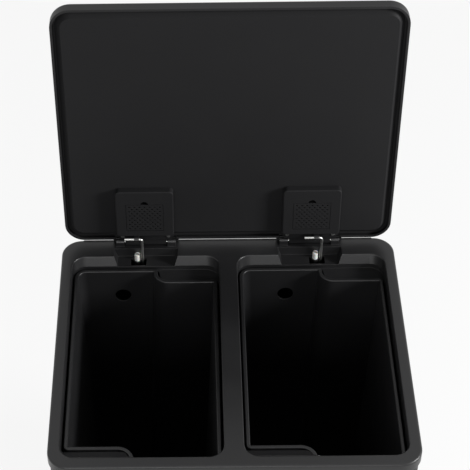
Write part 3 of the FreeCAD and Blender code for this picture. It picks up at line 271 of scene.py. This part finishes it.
# Zinc-plated drawn steel wire and pins: pale, bright, with fine lines along the wire.
ZINC_PLATED_STEEL = Finish(
    "zinc_plated_steel", "d3d3d0", "b4b5b3", 0.34, metallic=1.0, grain=Grain.DRAWN, grain_mm=0.4,
    relief_mm=0.01, patch_mm=12.0,
)
# Natural acetal, turned or moulded: white, waxy and slightly see-through at its edges.
NATURAL_ACETAL = Finish("natural_acetal", "f0f0ec", "e4e4df", 0.38, ior=1.48, subsurface=0.15)
# Carbon felt: black fibres with a coarse relief and hardly any gloss.
CARBON_FELT = Finish(
    "carbon_felt", "050505", "0a0a0a", 0.95, specular=0.1, grain=Grain.FELTED, grain_mm=1.5,
    relief_mm=0.3, patch_mm=8.0,
)
# Moulded rubber of the feet: matt and dusty black.
MOULDED_RUBBER = Finish("moulded_rubber", "1b1b1b", "232322", 0.72, specular=0.4, relief_mm=0.03)
# Dipped and baked black coat on the pressed steel lever: thin, even and slightly glossy.
DIP_COATED_STEEL = Finish(
    "dip_coated_steel", "1c1c1d", "222223", 0.34, grain=Grain.COATED, grain_mm=3.0, relief_mm=0.01
)


def new_piece(
    name: str, mesh: bmesh.types.BMesh, finish: Finish, body: str
) -> bpy.types.Object:
    """Turns a finished mesh into a piece that rides on a body of the frame.

    Args:
        name: The piece's name.
        mesh: The mesh, in metres in the row frame; it is freed.
        finish: Its finish.
        body: The body that it moves with.

    Returns:
        The new object.
    """
    bmesh.ops.recalc_face_normals(mesh, faces=mesh.faces)
    data = bpy.data.meshes.new(name)
    mesh.to_mesh(data)
    mesh.free()
    piece = bpy.data.objects.new(name, data)
    bpy.context.scene.collection.objects.link(piece)
    data.materials.append(finish.material())
    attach(piece, body)
    LOG.info("piece %s: %d faces, on %s", name, len(data.polygons), body)
    return piece


def rounded_block(low: Vector, high: Vector, radius: float) -> bmesh.types.BMesh:
    """Makes a block with rounded edges.

    Args:
        low: Its lowest corner, in metres.
        high: Its highest corner, in metres.
        radius: The radius of its edges, in millimetres.

    Returns:
        The mesh.
    """
    mesh = bmesh.new()
    centre, size = (low + high) / 2, high - low
    place = Matrix.Translation(centre) @ Matrix.Diagonal((*size, 1.0))
    bmesh.ops.create_cube(mesh, size=1.0, matrix=place)
    bmesh.ops.bevel(
        mesh, geom=mesh.edges[:], offset=radius * MM, segments=BLOCK_SEGMENTS, affect="EDGES"
    )
    return mesh


def dress_nodes(frame: dict, finish: Finish, *names: str) -> None:
    """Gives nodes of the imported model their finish.

    Args:
        finish: The finish.
        names: The nodes.
    """
    for name in names:
        data = frame["nodes"][name].data
        data.materials.clear()
        data.materials.append(finish.material())
        LOG.info("node %s: %s", name, finish.name)


@dataclass
class Casing:
    """The fixed body: sheet sleeve, top frame, base tray, feet, dampers and their screws.

    Sizes are in millimetres.
    """

    frame: dict
    rim_top: float = 600.0
    seam_width: float = 7.0
    seam_rise: float = 0.5
    seam_margin: float = 3.0
    seam_round: float = 0.35
    bead_margin: float = 30.0
    bead_depth: float = 2.6
    bead_rise: float = 1.3
    bead_sink: float = 3.0
    guard_width: float = 95.0
    guard_depth: float = 2.0
    guard_rise: float = 11.5
    edge_round: float = 0.9

    def build(self) -> None:
        """Adds the seam of the sleeve and the upstands along the frame's rear edge."""
        self.fold_seam()
        low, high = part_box("top_frame")
        rear, top = high.y - self.edge_round * MM, self.rim_top * MM
        half = (high.x - low.x) / 2 - self.bead_margin * MM
        sink = self.bead_sink * MM
        bead_low = Vector((-half, rear - self.bead_depth * MM, top - sink))
        bead_high = Vector((half, rear, top + self.bead_rise * MM))
        bead = rounded_block(bead_low, bead_high, self.edge_round)
        new_piece("rear_bead", bead, GRAINED_POLYPROPYLENE, "bin")
        for side in SIDES:
            pin_low, pin_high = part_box(f"hinge_pin_{side}")
            middle, reach = (pin_low.x + pin_high.x) / 2, self.guard_width / 2 * MM
            guard_low = Vector((middle - reach, rear - self.guard_depth * MM, top - sink))
            guard_high = Vector((middle + reach, rear, top + self.guard_rise * MM))
            guard = rounded_block(guard_low, guard_high, self.edge_round)
            new_piece(f"hinge_guard_{side}", guard, GRAINED_POLYPROPYLENE, "bin")

    def fold_seam(self) -> None:
        """Lays the flat lock seam down the back of the sleeve."""
        low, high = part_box("outer_shell")
        half, rise = self.seam_width / 2 * MM, self.seam_rise * MM
        margin = self.seam_margin * MM
        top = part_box("top_frame")[0].z - margin
        seam = rounded_block(
            Vector((-half, high.y - rise, low.z + margin)),
            Vector((half, high.y + rise, top)),
            self.seam_round,
        )
        new_piece("sleeve_seam", seam, POWDER_COAT, "bin")

    def dress(self) -> None:
        """Gives the casing's nodes their finishes."""
        dress_nodes(self.frame, POWDER_COAT, "outer_shell")
        dress_nodes(self.frame, GRAINED_POLYPROPYLENE, "top_frame", "base_tray")
        dress_nodes(self.frame, GRAINED_POLYPROPYLENE, *[f"damper_body_{side}" for side in SIDES])
        dress_nodes(self.frame, MOULDED_RUBBER, "feet")
        dress_nodes(self.frame, ZINC_PLATED_STEEL, *[f"hinge_pin_{side}" for side in SIDES])
        dress_nodes(self.frame, ZINC_PLATED_STEEL, "frame_screws", "base_screws")


@dataclass
class Lid:
    """The lid: pressed skin, inner panel, hinge brackets and the filter housings with their doors."""

    frame: dict

    def dress(self) -> None:
        """Gives the lid's nodes their finishes."""
        dress_nodes(self.frame, POWDER_COAT, "lid_skin")
        dress_nodes(self.frame, BLASTED_POLYPROPYLENE, "lid_liner")
        dress_nodes(self.frame, ZINC_PLATED_STEEL, "bracket_screws")
        for side in SIDES:
            dress_nodes(self.frame, GRAINED_POLYPROPYLENE, f"hinge_bracket_{side}")
            dress_nodes(
                self.frame, BLASTED_POLYPROPYLENE, f"filter_housing_{side}", f"filter_door_{side}"
            )
            dress_nodes(self.frame, CARBON_FELT, f"filter_pad_{side}")


@dataclass
class Buckets:
    """The two lift-out buckets."""

    frame: dict

    def dress(self) -> None:
        """Gives the buckets their finish."""
        dress_nodes(self.frame, SMOOTH_POLYPROPYLENE, *[f"bucket_{side}" for side in SIDES])


@dataclass
class Linkage:
    """Lift rods, their clips, the damper plungers and the pedal."""

    frame: dict

    def dress(self) -> None:
        """Gives the moving metal and plastic parts of the linkage their finishes."""
        for side in SIDES:
            dress_nodes(self.frame, ZINC_PLATED_STEEL, f"lift_rod_{side}", f"rod_clip_{side}")
            dress_nodes(self.frame, NATURAL_ACETAL, f"damper_plunger_{side}")
        dress_nodes(self.frame, NATURAL_ACETAL, "pedal_bushes")
        dress_nodes(self.frame, ZINC_PLATED_STEEL, "pedal_axle", "axle_clips")
        dress_nodes(self.frame, DIP_COATED_STEEL, "pedal_frame")
        dress_nodes(self.frame, GRAINED_POLYPROPYLENE, "pedal_pad")


@dataclass(frozen=True)
class Softbox:
    """A square or oblong soft lamp that points at a spot, in metres and watts."""

    name: str
    place: tuple[float, float, float]
    aim: tuple[float, float, float]
    width: float
    height: float
    power: float

    def build(self) -> None:
        """Hangs the lamp and turns it to its spot."""
        light = bpy.data.lights.new(self.name, "AREA")
        light.shape = "RECTANGLE"
        light.size, light.size_y = self.width, self.height
        light.energy = self.power
        lamp = bpy.data.objects.new(self.name, light)
        bpy.context.scene.collection.objects.link(lamp)
        lamp.location = self.place
        toward = Vector(self.aim) - Vector(self.place)
        lamp.rotation_mode = "QUATERNION"
        lamp.rotation_quaternion = toward.to_track_quat("-Z", "Y")


@dataclass
class Studio:
    """Pale floor, soft lamps, white surround and the camera at the photograph's angle.

    Places are in metres, angles in degrees, the lens in millimetres and the painted shade of the floor
    around the bin in shares of the bin's half width and half depth.
    """

    floor_size: float = 12.0
    floor_colour: str = "f2f2f1"
    floor_glow: float = 0.9
    # The floor's glow fades between these shares of the bin's half size, a painted shade under and around
    # the bin.
    shade_start: float = 0.94
    shade_end: float = 1.15
    surround: float = 0.14
    camera_place: tuple[float, float, float] = (-0.0505, -1.4361, 2.1679)
    heading: float = 0.681
    pitch: float = 43.469
    roll: float = -1.058
    lens: float = 119.24
    shift: float = 0.1185
    lamps: tuple[Softbox, ...] = (
        Softbox("front", (-0.3, -2.8, 1.55), (0.0, 0.1, 0.75), 1.8, 1.2, 23.0),
        Softbox("right", (2.0, -0.5, 1.5), (-0.2, 0.0, 0.55), 0.5, 0.5, 58.0),
    )

    def build(self) -> None:
        """Makes the floor, the surround, the lamps and the camera."""
        self.lay_floor()
        self.fill_surround()
        for lamp in self.lamps:
            lamp.build()
        self.set_camera()
        bpy.context.scene.view_settings.view_transform = "Standard"

    def lay_floor(self) -> None:
        """Lays a pale floor that looks white to the camera and still keeps the shadow."""
        mesh = bmesh.new()
        bmesh.ops.create_grid(mesh, x_segments=1, y_segments=1, size=self.floor_size / 2)
        data = bpy.data.meshes.new("floor")
        mesh.to_mesh(data)
        mesh.free()
        floor = bpy.data.objects.new("floor", data)
        bpy.context.scene.collection.objects.link(floor)
        material = bpy.data.materials.new("painted_floor")
        material.use_nodes = True
        tree = material.node_tree
        tree.nodes.clear()
        paint = add_node(
            tree, "ShaderNodeBsdfDiffuse", {}, {"Color": linear(self.floor_colour)}
        ).outputs["BSDF"]
        white = {"Color": linear("ffffff"), "Strength": 1.0}
        glow = add_node(tree, "ShaderNodeEmission", {}, white).outputs["Emission"]
        seen = add_node(
            tree,
            "ShaderNodeMath",
            {"operation": "MULTIPLY"},
            {0: self.seen_directly(tree), 1: self.floor_glow_with_painted_shade(tree)},
        ).outputs["Value"]
        mix = add_node(tree, "ShaderNodeMixShader", {}, {0: seen, 1: paint, 2: glow}).outputs["Shader"]
        add_node(tree, "ShaderNodeOutputMaterial", {}, {"Surface": mix})
        data.materials.append(material)

    def floor_glow_with_painted_shade(self, tree: bpy.types.NodeTree) -> bpy.types.NodeSocket:
        """Adds nodes that give the floor's glow, which fades out under the bin and a little way around it:
        a painted shade on the floor there.

        Args:
            tree: The floor's node tree.

        Returns:
            The socket with the share of glow.
        """
        low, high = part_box("base_tray")
        half = ((high.x - low.x) / 2, (high.y - low.y) / 2, 1.0)
        place = add_node(tree, "ShaderNodeTexCoord").outputs["Object"]
        absolute = {"operation": "ABSOLUTE"}
        reach = add_node(tree, "ShaderNodeVectorMath", absolute, {0: place}).outputs["Vector"]
        share = add_node(
            tree, "ShaderNodeVectorMath", {"operation": "DIVIDE"}, {0: reach, 1: half}
        ).outputs["Vector"]
        parts = add_node(tree, "ShaderNodeSeparateXYZ", {}, {"Vector": share}).outputs
        farther = add_node(
            tree, "ShaderNodeMath", {"operation": "MAXIMUM"}, {0: parts["X"], 1: parts["Y"]}
        ).outputs["Value"]
        # Painted shade: the glow is nought inside the bin's footprint and rises smoothly to full a little
        # way outside it, so the floor is darker under and around the bin.
        return add_node(
            tree,
            "ShaderNodeMapRange",
            {"interpolation_type": "SMOOTHSTEP"},
            {
                "Value": farther,
                "From Min": self.shade_start,
                "From Max": self.shade_end,
                "To Max": self.floor_glow,
            },
        ).outputs["Result"]

    @staticmethod
    def seen_directly(tree: bpy.types.NodeTree) -> bpy.types.NodeSocket:
        """Adds nodes that give one for what the eye sees straight, mirrored or through glass.

        Args:
            tree: The node tree to add to.

        Returns:
            The socket with that value.
        """
        path = add_node(tree, "ShaderNodeLightPath").outputs
        seen = path["Is Camera Ray"]
        for ray in ("Is Glossy Ray", "Is Transmission Ray"):
            inputs = {0: seen, 1: path[ray]}
            seen = add_node(tree, "ShaderNodeMath", {"operation": "MAXIMUM"}, inputs).outputs["Value"]
        return seen

    def fill_surround(self) -> None:
        """Fills the surround with a dim even light that looks white where it is seen."""
        world = bpy.data.worlds.new("surround")
        bpy.context.scene.world = world
        world.use_nodes = True
        tree = world.node_tree
        tree.nodes.clear()
        strength = add_node(
            tree,
            "ShaderNodeMapRange",
            {},
            {"Value": self.seen_directly(tree), "To Min": self.surround, "To Max": 1.0},
        ).outputs["Result"]
        light = add_node(
            tree, "ShaderNodeBackground", {}, {"Color": linear("ffffff"), "Strength": strength}
        )
        add_node(tree, "ShaderNodeOutputWorld", {}, {"Surface": light.outputs["Background"]})

    def set_camera(self) -> None:
        """Sets the camera where the perspective of the photograph puts it."""
        data = bpy.data.cameras.new("camera")
        data.lens = self.lens
        data.shift_x = self.shift
        data.clip_start, data.clip_end = NEAR_CLIP, FAR_CLIP
        camera = bpy.data.objects.new("camera", data)
        bpy.context.scene.collection.objects.link(camera)
        turn = (
            Matrix.Rotation(math.radians(self.heading), 4, "Z")
            @ Matrix.Rotation(math.radians(90 - self.pitch), 4, "X")
            @ Matrix.Rotation(math.radians(self.roll), 4, "Z")
        )
        camera.matrix_world = Matrix.Translation(self.camera_place) @ turn
        bpy.context.scene.camera = camera


def main() -> None:
    """Builds the looks piece by piece."""
    logging.basicConfig(level=logging.INFO, format="%(name)s: %(message)s")
    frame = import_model()
    casing = Casing(frame)
    casing.build()
    for assembly in (casing, Lid(frame), Buckets(frame), Linkage(frame)):
        assembly.dress()
    Studio().build()


if __name__ == "__main__":
    main()
